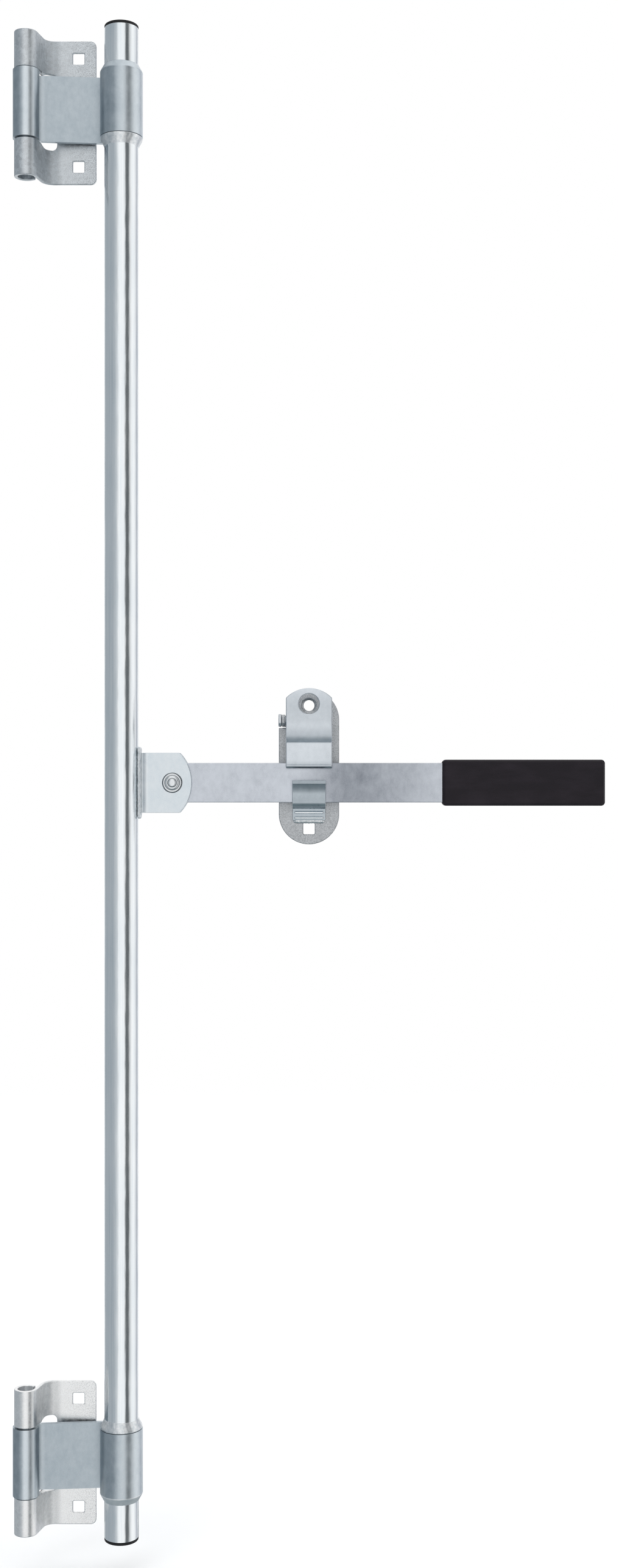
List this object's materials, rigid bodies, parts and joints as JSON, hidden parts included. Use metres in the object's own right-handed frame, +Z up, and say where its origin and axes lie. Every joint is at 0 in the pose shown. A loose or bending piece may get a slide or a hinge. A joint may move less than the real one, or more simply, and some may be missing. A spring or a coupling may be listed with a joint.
{
  "type": "container door lock bar",
  "caption": "Upright steel lock bar on bolt-on strap hinges, with a lift-and-swing flat handle, plastic grip and a door keeper with hook and hinged flap.",
  "frame": {"origin": "on the door face, below the hinge pins' line in depth, at the height of the handle's pivot rivet", "axes": "+X from the hinge pins towards the handle's grip, +Y into the door, +Z up along the bar"},
  "size_m": [0.4648, 0.0369, 1.19],
  "materials": {
    "zinc_tube": "satin zinc plate",
    "zinc_sheet": "satin zinc plate",
    "zinc_spangle": "spangled zinc plate",
    "steel_pin": "satin",
    "weld_bead": "rippled, zinc plated",
    "black_cap": "matte",
    "black_grip": "fine grained"
  },
  "bodies": {
    "root": {"upper_fixed_leaf": "zinc_spangle", "lower_fixed_leaf": "zinc_spangle", "upper_hinge_pin": "steel_pin", "lower_hinge_pin": "steel_pin", "keeper_base_plate": "zinc_spangle", "keeper_hook": "zinc_sheet", "keeper_hook_weld": "weld_bead", "flap_pin": "steel_pin"},
    "bar": {"bar_tube": "zinc_tube", "upper_end_cap": "black_cap", "lower_end_cap": "black_cap", "upper_swing_leaf": "zinc_sheet", "lower_swing_leaf": "zinc_sheet", "upper_sleeve_weld": "weld_bead", "lower_sleeve_weld": "weld_bead", "clevis": "zinc_sheet", "clevis_front_weld": "weld_bead", "clevis_rear_weld": "weld_bead", "pivot_rivet": "steel_pin"},
    "handle": {"handle_bar": "zinc_sheet", "handle_grip": "black_grip"},
    "flap": {"flap_plate": "zinc_sheet", "flap_eye": "zinc_sheet"}
  },
  "joints": [
    {"name": "bar_swing", "type": "hinge", "parent": "root", "child": "bar", "pos_m": [0, -0.02, 0], "axis": [0, 0, -1], "range_deg": [0, 180]},
    {"name": "handle_lift", "type": "hinge", "parent": "bar", "child": "handle", "pos_m": [0.1154, -0.02, 0], "axis": [0, -1, 0], "range_deg": [0, 11]},
    {"name": "flap_lift", "type": "hinge", "parent": "root", "child": "flap", "pos_m": [0.2224, -0.026, 0.0488], "axis": [-1, 0, 0], "range_deg": [0, 70]}
  ]
}
